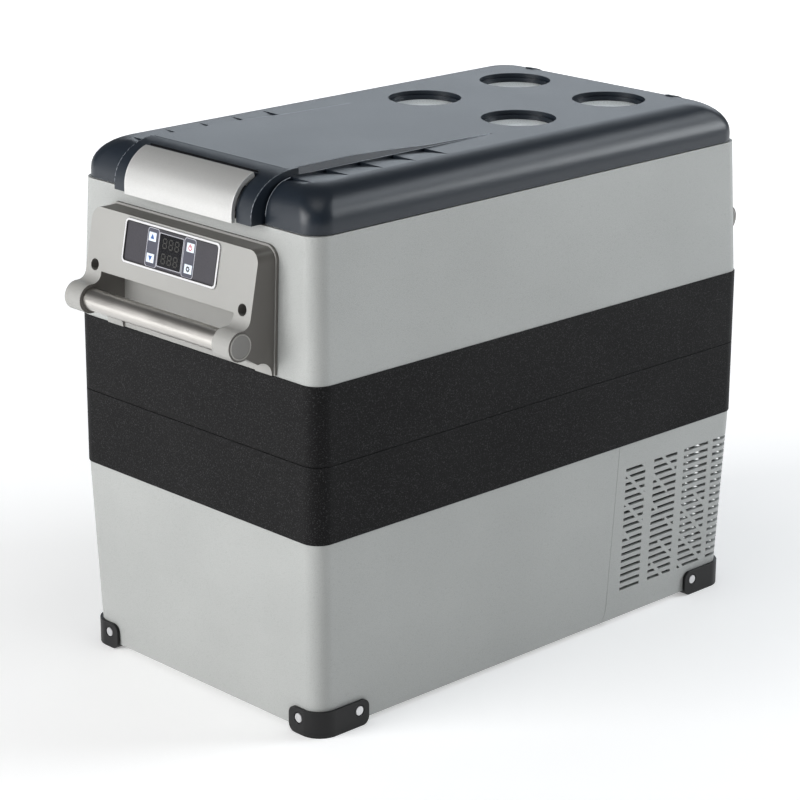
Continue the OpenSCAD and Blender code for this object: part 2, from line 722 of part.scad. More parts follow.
// Curved handle with a knuckle round the pin along its top edge
module latch_handle() color(bare_metal) difference() {
  top_a = 72;
  union() {
    side(-latch_y, latch_y) polygon(concat(
      [[-latch_front, deck_z + 1]],
      arc([-latch_centre, 488], -(latch_front - latch_centre), latch_rise, 0, top_a, 14),
      arc([-latch_centre, 488], -(latch_front - latch_centre - latch_t), latch_rise - latch_t, top_a, 0, 14),
      [[-latch_front + latch_t, deck_z + 1]]));
    pin_y(latch_axis, knuckle_d, 2 * latch_y);
    side(-latch_y, latch_y)
      polygon([[-286, latch_axis.z], [-280.8, latch_axis.z], [-280.8, 519], [-286, 517.6]]);
  }
  pin_y(latch_axis, latch_pin_d + 2 * fit_gap, far);
}

module latch_hook() color(bare_metal) {
  half = 14;
  box([-306, -half, 486], [-289.7, half, 489]);
}

// ---- lid ----

// Box with elliptical shoulders on all four sides
module lid_block() {
  rise = lid_z - lid_edge_z;
  hull() {
    slab(lid_l, lid_w, lid_r, lid_bottom, lid_bottom + skin);
    for (a = [0 : 9 : 90]) {
      in_x = lid_round_x * (1 - cos(a));
      in_y = lid_round_y * (1 - cos(a));
      z = lid_edge_z + rise * sin(a);
      slab(lid_l - 2 * in_x, lid_w - 2 * in_y, lid_r, z - skin, z);
    }
  }
}

cheek_rx = cheek_x - cheek_top_x;
cheek_z = 487;
cheek_rz = spine_z - cheek_z;

// Curved front of the raised middle
module cheeks() side(-spine_y, spine_y) polygon(concat([[-cheek_x, lid_bottom]],
  arc([-cheek_top_x, cheek_z], -cheek_rx, cheek_rz, 0, 90, 12),
  [[-cheek_top_x + 6, spine_z], [-cheek_top_x + 6, lid_z - 6], [-262, lid_z - 6], [-262, lid_bottom]]));

// Raised middle with sloping sides, which fades out towards the cups
module spine() intersection() {
  root = 3;
  lean = spine_slope / spine_rise;
  side(-far, far) polygon([[groove_end + 0.1, lid_z - root], [groove_end + 0.1, spine_z], [rib_x[2], spine_z],
    [rib_x[3], lid_z + 4.5], [rib_x[4], lid_z + 2.2], [spine_end, lid_z], [spine_end + 9, lid_z - 0.2],
    [spine_end + 9, lid_z - root]]);
  low_y = spine_y + root * lean;
  high_y = spine_y - spine_slope - step_up * lean;
  front(-far, far) polygon([[-low_y, lid_z - root], [-high_y, lid_z + spine_rise + step_up],
    [high_y, lid_z + spine_rise + step_up], [low_y, lid_z - root]]);
}

// Wedge-shaped notch whose floor drops to a riser at x
module rib_notch(x, s) {
  inner = s * (spine_y + 1);
  outer = s * rib_outer_y;
  over = 4;
  polyhedron(points = [[x, inner, lid_z - rib_depth], [x, outer, lid_z], [x - 38, inner, lid_z],
      [x, inner, lid_z + over], [x, outer, lid_z + over], [x - 38, inner, lid_z + over]],
    faces = s > 0 ? [[0, 1, 2], [5, 4, 3], [0, 3, 4, 1], [1, 4, 5, 2], [2, 5, 3, 0]]
      : [[2, 1, 0], [3, 4, 5], [1, 4, 3, 0], [2, 5, 4, 1], [0, 3, 5, 2]]);
}

// Hollow inside the lid, in three steps that stay inside its shoulders, shrunk by g
module lid_hollow(g) {
  steps = [[lid_bottom - step_up, 496, 285.5, 161.7], [496 - skin, 506, 279.5, 154.7],
    [506 - skin, 513, 272, 146]];
  for (s = steps) translate([(s[2] - 272) / 2, 0, 0])
    slab(s[2] + 272 - 2 * g, 2 * s[3] - 2 * g, 20 - g, s[0] - g, s[1] - g);
}

module cups(d, z0, z1) {
  for (x = cup_x, s = [-1, 1]) translate([x, s * cup_y, z0]) cylinder(d = d, h = z1 - z0, $fn = 64);
}

module lid_shell() color(lid_blue) difference() {
  floor_z = lid_z - cup_depth;
  union() {
    difference() {
      union() {
        lid_block();
        cheeks();
        spine();
        for (s = [-1, 1]) side(s * hinge_y - 5, s * hinge_y + 5)
          polygon(concat([[280, 505]], arc([lid_l / 2 - lid_round_x, lid_edge_z], lid_round_x + 1,
            lid_z - lid_edge_z + 1, 30, 88, 8), [[262, 505]]));
      }
      lid_hollow(0);
    }
    cups(cup_d + 7, floor_z - 4, lid_z - 2);
  }
  cups(cup_d, lid_z - 4.5, lid_z + step_up);
  cups(cup_d - 5, floor_z, lid_z);
  box([-far, -latch_y - 0.6, 400], [pocket_x, latch_y + 0.6, far * 2]);
  for (s = [-1, 1]) {
    side(s > 0 ? spine_y : -spine_y - groove_y, s > 0 ? spine_y + groove_y : -spine_y)
      difference() {
        translate([-330, 470]) square([330 + groove_end, 70]);
        polygon(concat([[-cheek_x + groove_x, 460]], arc([-cheek_top_x, cheek_z], -(cheek_rx - groove_x),
          cheek_rz - groove_depth, 0, 90, 10), [[groove_end + 1, 500], [groove_end + 1, 460]]));
      }
    for (x = rib_x) rib_notch(x, s);
  }
  pin_y(latch_axis, latch_pin_d + 2 * fit_gap, 2 * (latch_y + 12));
}

module lid_foam() color([0.9, 0.87, 0.72]) difference() {
  intersection() {
    lid_hollow(0.4);
    box([-far, -far, 487.2], [far, far, 520]);
  }
  cups(cup_d + 8, 480, 520);
}

module lid_liner() color([0.86, 0.87, 0.87]) {
  translate([6.75, 0, 0]) slab(550, 316, 16, 484.2, 486.8);
  slab(500, 258, 24, 481.2, 484.2);
}

// Seal that runs round the opening, clear of the deck by a hair
module lid_gasket() color(trim_black) difference() {
  slab(540, 300, 25, deck_z + 0.4, 484);
  slab(530, 290, 20, deck_z - 1, 486);
}

module cup_pads() color([0.93, 0.94, 0.95])
  cups(cup_d - 5.6, lid_z - cup_depth + 0.1, lid_z - cup_depth + 1.1);

// ---- basket ----

// Flat grille of square wires in the local XY plane, from the origin to size
module grille(size, bars, w) {
  for (i = [0 : bars.x]) translate([i * (size.x - w) / bars.x, 0, 0]) cube([w, size.y, w]);
  for (i = [0 : bars.y]) translate([0, i * (size.y - w) / bars.y, 0]) cube([size.x, w, w]);
}

// Five grilles that stand a hair apart: a floor and four walls
module wire_basket() color(bare_metal) {
  lo = [-248, -128, 47];
  hi = [58, 128, 440];
  w = 3;
  seam = 0.1;
  wall_z = lo.z + w + seam;
  wall_h = hi.z - wall_z;
  translate(lo) grille([hi.x - lo.x, hi.y - lo.y], [10, 8], w);
  for (y = [lo.y + w, hi.y]) translate([lo.x, y, wall_z])
    rotate([90, 0, 0]) grille([hi.x - lo.x, wall_h], [10, 3], w);
  for (x = [lo.x, hi.x - w]) translate([x, lo.y + w + seam, wall_z])
    rotate([90, 0, 90]) grille([hi.y - lo.y - 2 * (w + seam), wall_h], [8, 3], w);
}

lower_shell();
vent_cover();
base_plate();
lower_band();
upper_band();
upper_shell();
inner_liner();
foam_insulation();
evaporator_plate();
evaporator_tube();
temperature_probe();
bulkhead();
compressor();
compressor_grommets();
compressor_bolts();
control_board();
condenser_fins();
condenser_tube();
fan_frame();
fan_motor();
fan_rotor();
filter_drier();
refrigerant_lines();
inlet_plate();
ac_inlet();
dc_inlet();
front_left_foot();
front_right_foot();
rear_left_foot();
rear_right_foot();
foot_screws();
front_handle_bracket();
rear_handle_bracket();
front_grip_bar();
rear_grip_bar();
grip_caps();
handle_screws();
display_bezel();
display_overlay();
display_window();
display_board();
key_up();
key_down();
key_power();
key_set();
latch_keeper();
left_hinge_base();
right_hinge_base();
hinge_pins();
wire_basket();
lid_shell();
lid_foam();
lid_liner();
lid_gasket();
cup_pads();
left_hinge_leaf();
right_hinge_leaf();
latch_pin();
latch_handle();
latch_hook();
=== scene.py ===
"""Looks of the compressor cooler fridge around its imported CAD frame. Metres, +Z up, -X towards the latch."""
import json
import math

import bmesh
import bpy
from mathutils import Matrix, Vector


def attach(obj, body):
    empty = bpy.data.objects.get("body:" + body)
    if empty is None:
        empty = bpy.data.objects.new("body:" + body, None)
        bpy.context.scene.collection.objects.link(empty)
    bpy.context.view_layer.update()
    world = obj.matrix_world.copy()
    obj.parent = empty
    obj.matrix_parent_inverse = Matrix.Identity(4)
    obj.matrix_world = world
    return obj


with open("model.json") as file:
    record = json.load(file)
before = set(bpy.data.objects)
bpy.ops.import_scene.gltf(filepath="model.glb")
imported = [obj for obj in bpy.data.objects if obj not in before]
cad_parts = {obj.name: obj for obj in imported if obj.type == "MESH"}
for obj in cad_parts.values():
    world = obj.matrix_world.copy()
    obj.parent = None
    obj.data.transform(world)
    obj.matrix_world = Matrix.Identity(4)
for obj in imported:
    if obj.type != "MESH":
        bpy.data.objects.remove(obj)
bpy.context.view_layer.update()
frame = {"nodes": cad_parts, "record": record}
nodes = frame["nodes"]
scene = bpy.context.scene
MM = 0.001


# ---- camera, floor and lights ----

def camera():
    """Stands where the photograph's camera stood."""
    az = math.radians(-44.1045)
    el = math.radians(18.0959)
    roll = math.radians(0.255)
    target = Vector((-0.00670, 0.01949, 0.22489))
    distance = 2.7639
    back = Vector((math.sin(az) * math.cos(el), -math.cos(az) * math.cos(el), math.sin(el)))
    level = Vector((math.cos(az), math.sin(az), 0))
    rise = back.cross(level)
    right = level * math.cos(roll) + rise * math.sin(roll)
    up = rise * math.cos(roll) - level * math.sin(roll)
    data = bpy.data.cameras.new("camera")
    data.lens = 122.43
    data.sensor_width = 36
    data.clip_end = 50
    obj = bpy.data.objects.new("camera", data)
    scene.collection.objects.link(obj)
    turn = Matrix((right, up, back)).transposed().to_4x4()
    obj.matrix_world = Matrix.Translation(target + back * distance) @ turn
    scene.camera = obj


def softbox(name, at, aim, size, power, tint=(1, 1, 1)):
    """Rectangular soft light that looks from at towards aim."""
    data = bpy.data.lights.new(name, "AREA")
    data.shape = "RECTANGLE"
    data.size = size[0]
    data.size_y = size[1]
    data.energy = power
    data.color = tint
    obj = bpy.data.objects.new(name, data)
    scene.collection.objects.link(obj)
    obj.location = at
    obj.rotation_euler = (Vector(aim) - Vector(at)).to_track_quat("-Z", "Y").to_euler()


def plain(name, color, glow=0.0):
    """Matte stage material."""
    mat = bpy.data.materials.new(name)
    mat.use_nodes = True
    shader = mat.node_tree.nodes["Principled BSDF"]
    shader.inputs["Base Color"].default_value = (*color, 1)
    shader.inputs["Roughness"].default_value = 1.0
    shader.inputs["Specular IOR Level"].default_value = 0.0
    shader.inputs["Emission Color"].default_value = (1, 1, 1, 1)
    shader.inputs["Emission Strength"].default_value = glow
    return mat


def glowing_floor():
    """White floor that grows brighter away from the object, as a lit paper sweep does."""
    mat = plain("studio_floor", (0.86, 0.86, 0.86))
    tree = mat.node_tree
    coords = tree.nodes.new("ShaderNodeTexCoord")
    reach = tree.nodes.new("ShaderNodeVectorMath")
    reach.operation = "LENGTH"
    fade = tree.nodes.new("ShaderNodeMapRange")
    fade.inputs["From Min"].default_value = 0.35
    fade.inputs["From Max"].default_value = 2.4
    fade.inputs["To Min"].default_value = 0.32
    fade.inputs["To Max"].default_value = 0.80
    tree.links.new(coords.outputs["Object"], reach.inputs[0])
    tree.links.new(reach.outputs["Value"], fade.inputs["Value"])
    tree.links.new(fade.outputs["Result"], tree.nodes["Principled BSDF"].inputs["Emission Strength"])
    return mat


def studio():
    """Pale floor inside a white surround that only the camera sees, and five softboxes."""
    bpy.ops.mesh.primitive_plane_add(size=24)
    floor = bpy.context.object
    floor.name = "studio_floor"
    floor.data.materials.append(glowing_floor())
    bpy.ops.mesh.primitive_uv_sphere_add(segments=48, ring_count=24, radius=11)
    dome = bpy.context.object
    dome.name = "studio_surround"
    dome.data.materials.append(plain("studio_surround", (0, 0, 0), 1.15))
    dome.visible_diffuse = False
    dome.visible_glossy = False
    dome.visible_transmission = False
    dome.visible_shadow = False
    dome.data.shade_smooth()
    world = bpy.data.worlds.new("surround")
    scene.world = world
    world.use_nodes = True
    world.node_tree.nodes["Background"].inputs["Color"].default_value = (1, 1, 1, 1)
    world.node_tree.nodes["Background"].inputs["Strength"].default_value = 0.10
    softbox("key_light", (-3.2, 0.9, 1.3), (0, 0, 0.25), (2.0, 2.2), 105)
    softbox("side_light", (3.0, -2.1, 1.6), (0.1, 0, 0.3), (1.5, 1.2), 62, (0.93, 0.97, 1.0))
    softbox("streak_light", (2.1, -1.1, 2.5), (0.1, 0, 0.4), (1.8, 0.5), 20, (0.90, 0.95, 1.0))
    softbox("back_light", (3.3, 2.7, 1.7), (0, 0, 0.45), (3.2, 1.2), 27, (0.84, 0.92, 1.0))
    softbox("top_light", (-0.6, -0.5, 3.2), (0, 0, 0.3), (1.4, 1.4), 12)
    scene.view_settings.view_transform = "Standard"


# ---- materials ----

class Graph:
    """Short way to wire a material's nodes."""

    def __init__(self, name):
        self.mat = bpy.data.materials.new(name)
        self.mat.use_nodes = True
        self.tree = self.mat.node_tree
        self.shader = self.tree.nodes["Principled BSDF"]
        self.coords = self.tree.nodes.new("ShaderNodeTexCoord").outputs["Object"]

    def add(self, kind, inputs=None, **props):
        """New node with its settings, and its inputs linked or set."""
        node = self.tree.nodes.new(kind)
        for key, value in props.items():
            setattr(node, key, value)
        for key, value in (inputs or {}).items():
            if isinstance(value, bpy.types.NodeSocket):
                self.tree.links.new(value, node.inputs[key])
            else:
                node.inputs[key].default_value = value
        return node

    def stretched(self, scale):
        """Object coordinates with a scale of their own along each axis."""
        return self.add("ShaderNodeMapping", {"Vector": self.coords, "Scale": scale}).outputs["Vector"]

    def noise(self, scale, detail=2.0, rough=0.5, vector=None):
        """Noise with scale waves to the metre."""
        return self.add("ShaderNodeTexNoise", {"Vector": vector or self.coords, "Scale": scale,
                        "Detail": detail, "Roughness": rough}).outputs["Fac"]

    def ramp(self, fac, stops):
        """Colour that follows fac through stops of (place, colour)."""
        node = self.add("ShaderNodeValToRGB", {"Fac": fac})
        ends = node.color_ramp.elements
        while len(ends) < len(stops):
            ends.new(0.5)
        for end, (at, color) in zip(ends, stops):
            end.position = at
            end.color = (*color, 1)
        return node.outputs["Color"]

    def spread(self, fac, low, high, frm=(0.3, 0.7)):
        """Value that runs from low to high while fac crosses frm."""
        return self.add("ShaderNodeMapRange", {"Value": fac, "From Min": frm[0], "From Max": frm[1],
                        "To Min": low, "To Max": high}).outputs["Result"]

    def times(self, first, second):
        """Two colours multiplied."""
        mix = self.add("ShaderNodeMix", data_type="RGBA", blend_type="MULTIPLY")
        mix.inputs["Factor"].default_value = 1
        self.tree.links.new(first, mix.inputs["A"])
        self.tree.links.new(second, mix.inputs["B"])
        return mix.outputs["Result"]

    def bump(self, height, depth, normal=None):
        """Surface normal tilted by a height map that is depth metres high."""
        inputs = {"Height": height, "Distance": depth, "Strength": 1.0}
        if normal is not None:
            inputs["Normal"] = normal
        return self.add("ShaderNodeBump", inputs).outputs["Normal"]

    def set(self, **values):
        """Finished material with these values on its shader."""
        names = {"color": "Base Color", "rough": "Roughness", "metal": "Metallic", "normal": "Normal",
                 "spec": "Specular IOR Level", "coat": "Coat Weight"}
        for key, value in values.items():
            socket = self.shader.inputs[names[key]]
            if isinstance(value, bpy.types.NodeSocket):
                self.tree.links.new(value, socket)
            elif key == "color":
                socket.default_value = (*value, 1)
            else:
                socket.default_value = value
        return self.mat


def shade(color, factor):
    """Colour made lighter or darker."""
    return tuple(min(1.0, part * factor) for part in color)


def moulded(name, color, rough, grain, depth, mottle=0.06, spec=0.5):
    """Moulded plastic: a fine pebbled grain and a slow drift of colour and polish, with painted shade in small
    pits.
    """
    g = Graph(name)
    fine = g.noise(1 / grain, 3.0, 0.6)
    broad = g.noise(9.0, 4.0, 0.6)
    specks = g.noise(0.45 / grain, 1.0)
    drift = g.ramp(broad, [(0.3, shade(color, 1 - mottle)), (0.7, shade(color, 1 + mottle))])
    # painted shade: small darker specks stand for the shade in pits of the grain
    pit_shade = g.ramp(specks, [(0.36, shade((1, 1, 1), 1 - mottle)), (0.56, (1, 1, 1))])
    color = g.times(drift, pit_shade)
    polish = g.spread(broad, rough * (1 - mottle), rough * (1 + mottle))
    return g.set(color=color, rough=polish, normal=g.bump(fine, depth), spec=spec)


def leather_grain(name, color, rough, cell, depth):
    """Moulded plastic with a leather-like skin of small rounded cells, with painted shade in the creases
    between them.
    """
    g = Graph(name)
    wobble = g.add("ShaderNodeMix", data_type="VECTOR")
    wobble.inputs["Factor"].default_value = 0.0012
    g.tree.links.new(g.coords, wobble.inputs["A"])
    g.tree.links.new(g.add("ShaderNodeTexNoise", {"Vector": g.coords, "Scale": 0.3 / cell}).outputs["Color"],
                     wobble.inputs["B"])
    cells = g.add("ShaderNodeTexVoronoi", {"Vector": wobble.outputs["Result"], "Scale": 1 / cell},
                  feature="DISTANCE_TO_EDGE").outputs["Distance"]
    domes = g.spread(cells, 0.0, 1.0, (0.0, 0.22))
    broad = g.noise(7.0, 4.0)
    fine = g.noise(3 / cell, 2.0)
    drift = g.ramp(broad, [(0.3, shade(color, 0.95)), (0.7, shade(color, 1.05))])
    # painted shade: the colour darkens in the creases between the cells, the valleys of the bump
    crease_shade = g.ramp(domes, [(0.0, (0.86, 0.86, 0.86)), (0.55, (1, 1, 1))])
    color = g.times(drift, crease_shade)
    normal = g.bump(fine, depth * 0.4, g.bump(domes, depth))
    return g.set(color=color, rough=g.spread(broad, rough - 0.04, rough + 0.04),
                 normal=normal, spec=0.45)


def sparkle_grain(name, color, painted_glint, rough, grain, depth):
    """Coarse dark plastic with painted glints: its colour turns lighter in small points where the grain would
    catch the light.
    """
    g = Graph(name)
    fine = g.noise(1 / grain, 2.0, 0.7)
    points = g.noise(0.8 / grain, 1.0)
    broad = g.noise(8.0, 3.0)
    # painted glints: lighter colour at the peaks of the points noise
    tone = g.ramp(points, [(0.5, color), (0.60, shade(color, 1.6)), (0.70, painted_glint)])
    return g.set(color=tone, rough=g.spread(broad, rough - 0.05, rough + 0.05),
                 normal=g.bump(fine, depth), spec=0.11)


def brushed(name, color, rough, scale, depth=0.00002):
    """Metal whose fine scratches run along the axis with the smallest scale."""
    g = Graph(name)
    scratches = g.noise(1.0, 3.0, 0.6, g.stretched(scale))
    broad = g.noise(14.0, 3.0)
    tone = g.ramp(scratches, [(0.3, shade(color, 0.9)), (0.7, shade(color, 1.06))])
    return g.set(color=tone, metal=1.0, rough=g.spread(broad, rough - 0.05, rough + 0.06),
                 normal=g.bump(scratches, depth))


def bracket_satin_with_painted_shade(name, color, dark):
    """Satin moulding with painted shade: dark on the walls that face sideways and on the top wall, where the
    light falls weakly.
    """
    turned = (0.45, 0.85)
    roof_z = (0.448, 0.454)
    g = Graph(name)
    tex = g.add("ShaderNodeTexCoord")
    facing = g.add("ShaderNodeSeparateXYZ", {"Vector": tex.outputs["Normal"]})
    place = g.add("ShaderNodeSeparateXYZ", {"Vector": g.coords})
    sideways = g.add("ShaderNodeMath", {0: facing.outputs["Y"]}, operation="ABSOLUTE").outputs["Value"]
    wall = g.spread(sideways, 0.0, 1.0, turned)
    upward = g.spread(facing.outputs["Z"], 0.0, 1.0, turned)
    high = g.spread(place.outputs["Z"], 0.0, 1.0, roof_z)
    top_wall_shade = g.add("ShaderNodeMath", {0: upward, 1: high}, operation="MULTIPLY").outputs["Value"]
    # painted shade mask: the sideways walls and the top wall take the dark colour
    both = g.add("ShaderNodeMath", {0: wall, 1: top_wall_shade}, operation="MAXIMUM").outputs["Value"]
    broad = g.noise(9.0, 4.0)
    fine = g.noise(1600.0, 2.0)
    light = g.ramp(broad, [(0.3, shade(color, 0.97)), (0.7, shade(color, 1.03))])
    mix = g.add("ShaderNodeMix", data_type="RGBA")
    g.tree.links.new(both, mix.inputs["Factor"])
    g.tree.links.new(light, mix.inputs["A"])
    # the dark colour is the painted shade
    mix.inputs["B"].default_value = (*dark, 1)
    return g.set(color=mix.outputs["Result"], rough=g.spread(broad, 0.38, 0.48),
                 normal=g.bump(fine, 0.00001), spec=0.45)


def satin_paint(name, color, rough, metal):
    """Silver paint with fine flakes."""
    g = Graph(name)
    flakes = g.noise(2400.0, 1.0)
    broad = g.noise(10.0, 3.0)
    tone = g.ramp(flakes, [(0.35, shade(color, 0.92)), (0.65, shade(color, 1.08))])
    return g.set(color=tone, metal=metal, rough=g.spread(broad, rough - 0.03, rough + 0.03),
                 normal=g.bump(flakes, 0.000006), spec=0.5)


def foam(name, color):
    """Poured foam: open cells and yellowed patches."""
    g = Graph(name)
    cells = g.add("ShaderNodeTexVoronoi", {"Vector": g.coords, "Scale": 900.0}).outputs["Distance"]
    broad = g.noise(12.0, 5.0)
    tone = g.ramp(broad, [(0.3, shade(color, 0.85)), (0.7, shade(color, 1.05))])
    return g.set(color=tone, rough=0.95, normal=g.bump(cells, 0.0006), spec=0.2)


def glossy(name, color, rough, coat=0.3):
    """Smooth gloss plastic with a faint haze and slow ripples."""
    g = Graph(name)
    broad = g.noise(40.0, 3.0)
    haze = g.noise(700.0, 2.0)
    tone = g.ramp(broad, [(0.3, shade(color, 0.94)), (0.7, shade(color, 1.06))])
    return g.set(color=tone, rough=g.spread(haze, rough * 0.8, rough * 1.25), coat=coat,
                 normal=g.bump(haze, 0.000008))


# Each part's finish, by its material slot, and the finishes of the added pieces
MATERIALS = {
    "shell_grey": leather_grain("shell_grey", (0.40, 0.41, 0.40), 0.52, 0.0014, 0.00006),
    # band_black: dark plastic colour, then the colour of its painted glints
    "band_black": sparkle_grain("band_black", (0.0052, 0.0052, 0.0055), (0.034, 0.034, 0.035),
                                0.55, 0.0009, 0.00012),
    "lid_slate": moulded("lid_slate", (0.011, 0.0168, 0.0255), 0.36, 0.0009, 0.00010, 0.03, 0.42),
    "foot_black": moulded("foot_black", (0.008, 0.008, 0.0085), 0.42, 0.0008, 0.00005, spec=0.3),
    # bracket: its own satin colour, then the dark colour of its painted shade
    "bracket_silver": bracket_satin_with_painted_shade("bracket_silver", (0.335, 0.332, 0.318), (0.130, 0.123, 0.113)),
    "grip_metal": brushed("grip_metal", (0.62, 0.60, 0.57), 0.34, (900, 40, 900), 0.00001),
    "latch_silver": satin_paint("latch_silver", (0.56, 0.56, 0.55), 0.36, 0.5),
    "bezel_silver": satin_paint("bezel_silver", (0.66, 0.66, 0.67), 0.3, 0.15),
    "overlay_dark": glossy("overlay_dark", (0.022, 0.020, 0.028), 0.45, 0.03),
    "window_dark": glossy("window_dark", (0.006, 0.006, 0.008), 0.12, 0.6),
    "key_white": glossy("key_white", (0.72, 0.80, 0.90), 0.35),
    "liner_white": moulded("liner_white", (0.62, 0.63, 0.63), 0.4, 0.0012, 0.00003, 0.03),
    "foam": foam("foam", (0.72, 0.60, 0.34)),
    "aluminium_sheet": brushed("aluminium_sheet", (0.75, 0.76, 0.77), 0.35, (60, 60, 900)),
    "copper": brushed("copper", (0.70, 0.30, 0.16), 0.3, (300, 300, 300)),
    "steel": brushed("steel", (0.68, 0.68, 0.69), 0.3, (700, 700, 60)),
    "compressor_black": moulded("compressor_black", (0.012, 0.012, 0.013), 0.32, 0.0016, 0.0001),
    "rubber_black": moulded("rubber_black", (0.015, 0.015, 0.015), 0.75, 0.0009, 0.00006),
    "board_green": moulded("board_green", (0.015, 0.10, 0.035), 0.4, 0.003, 0.0002, 0.2),
    "fan_black": moulded("fan_black", (0.014, 0.014, 0.016), 0.45, 0.001, 0.00003),
    "inlet_black": moulded("inlet_black", (0.016, 0.016, 0.017), 0.45, 0.0007, 0.00004),
    "hinge_black": moulded("hinge_black", (0.028, 0.032, 0.04), 0.45, 0.0007, 0.00004),
    "cup_pale": glossy("cup_pale", (0.90, 0.95, 0.97), 0.3, 0.3),
    "line_pale": glossy("line_pale", (0.50, 0.50, 0.55), 0.35),
    "field_blue": glossy("field_blue", (0.050, 0.052, 0.075), 0.4, 0.2),
    "digit_dim": glossy("digit_dim", (0.017, 0.016, 0.012), 0.4, 0.2),
    "print_blue": glossy("print_blue", (0.02, 0.09, 0.30), 0.4, 0.1),
    "print_red": glossy("print_red", (0.50, 0.03, 0.04), 0.4, 0.1),
    "print_black": glossy("print_black", (0.01, 0.01, 0.012), 0.4, 0.1),
    "bracket_face": moulded("bracket_face", (0.40, 0.39, 0.37), 0.4, 0.0007, 0.00001, 0.02),
    "cap_grey": moulded("cap_grey", (0.24, 0.235, 0.225), 0.4, 0.0006, 0.00001, 0.02),
    # light slate of the painted highlight beads on the lid's edges
    "lid_edge_highlight": moulded("lid_edge_highlight", (0.34, 0.37, 0.41), 0.3, 0.0009, 0.00001, 0.03, 0.5),
    # black of the painted shade along the back of the latch's pocket
    "slot_shade_black": moulded("slot_shade_black", (0.004, 0.004, 0.005), 0.6, 0.0008, 0.00003, 0.04, 0.1),
}


def dress():
    """Gives each CAD node the material of its slot."""
    for part in frame["record"]["subparts"]:
        obj = nodes[part["node"]]
        for slot in obj.material_slots:
            slot.material = MATERIALS[part["material_slot"]]
        if not obj.material_slots:
            obj.data.materials.append(MATERIALS[part["material_slot"]])


def weld(obj):
    """Joins vertices that lie on each other."""
    join = obj.modifiers.new("weld", "WELD")
    join.merge_threshold = 0.002 * MM


def even_normals(obj):
    """Lets large faces decide how the surface is shaded."""
    shading = obj.modifiers.new("shading", "WEIGHTED_NORMAL")
    shading.keep_sharp = False


def soften(name, width):
    """Rounds a CAD node's sharp edges: flat faces are joined first, so the bevel has clean edges."""
    obj = nodes[name]
    weld(obj)
    flat = obj.modifiers.new("flat", "DECIMATE")
    flat.decimate_type = "DISSOLVE"
    flat.angle_limit = math.radians(1)
    edge = obj.modifiers.new("edge", "BEVEL")
    edge.width = width
    edge.segments = 2
    edge.limit_method = "ANGLE"
    edge.angle_limit = math.radians(32)
    edge.use_clamp_overlap = True
    even_normals(obj)


def smooth_shade(name, angle):
    """Shades a CAD node smoothly over small turns and keeps sharper edges crisp."""
    obj = nodes[name]
    weld(obj)
    split = obj.modifiers.new("split", "EDGE_SPLIT")
    split.split_angle = math.radians(angle)
    even_normals(obj)


# ---- key panel ----

PANEL_X = 313           # top edge of the sloping face
PANEL_Z = 463
SLOPE = math.atan(11 / 58)
PANEL_MIDDLE = 23.1     # down the slope
COLUMN_Y = 26
COLUMN_MIDDLE = 23.3
COLUMN_W = 16.4
COLUMN_H = 36.4
WINDOW_MIDDLE = 23.2
KEY_Y = 27
UPPER_KEY = 13.7
LOWER_KEY = 33.2
DIGIT_PITCH = 8.6
DIGIT_ROWS = (16.4, 30.6)
PRINT = (0.78, 0.92)    # bottom and top of the print on the keys


def on_panel(y, t, n):
    """Point on the key panel: y across, t down the slope from its top edge, n proud of it, in mm."""
    out = t * math.sin(SLOPE) + n * math.cos(SLOPE)
    down = t * math.cos(SLOPE) - n * math.sin(SLOPE)
    return Vector((-(PANEL_X + out) * MM, y * MM, (PANEL_Z - down) * MM))


def new_piece(name, bm, material, body):
    """Finished mesh piece that rides on a body."""
    bmesh.ops.recalc_face_normals(bm, faces=bm.faces)
    mesh = bpy.data.meshes.new(name)
    bm.to_mesh(mesh)
    bm.free()
    obj = bpy.data.objects.new(name, mesh)
    scene.collection.objects.link(obj)
    mesh.materials.append(material)
    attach(obj, body)
    return obj


def round_rect(y, t, wide, tall, r, steps=5):
    """Outline of a rounded rectangle in panel coordinates."""
    pts = []
    for k, (sy, st) in enumerate([(1, 1), (-1, 1), (-1, -1), (1, -1)]):
        for i in range(steps + 1):
            a = math.pi / 2 * (k + i / steps)
            pts.append((y + sy * (wide / 2 - r) + r * math.cos(a),
                        t + st * (tall / 2 - r) + r * math.sin(a)))
    return pts


def wall_of(bm, outlines, low, high):
    """Solid between closed outlines: one outline gives a plate, two give a ring."""
    rows = []
    for pts in outlines:
        rows.append([[bm.verts.new(on_panel(y, t, n)) for y, t in pts] for n in (low, high)])
    count = len(outlines[0])
    for row in rows:
        for i in range(count):
            j = (i + 1) % count
            bm.faces.new((row[0][i], row[0][j], row[1][j], row[1][i]))
    if len(rows) == 1:
        bm.faces.new(rows[0][1])
        bm.faces.new(list(reversed(rows[0][0])))
        return
    for level in (0, 1):
        for i in range(count):
            j = (i + 1) % count
            bm.faces.new((rows[0][level][i], rows[0][level][j], rows[1][level][j], rows[1][level][i]))


def ring(bm, y, t, wide, tall, r, line, low, high):
    """Rounded frame with the given line width, from low to high above the panel."""
    outer = round_rect(y, t, wide, tall, r)
    inner = round_rect(y, t, wide - 2 * line, tall - 2 * line, max(r - line, 0.1))
    wall_of(bm, [outer, inner], low, high)


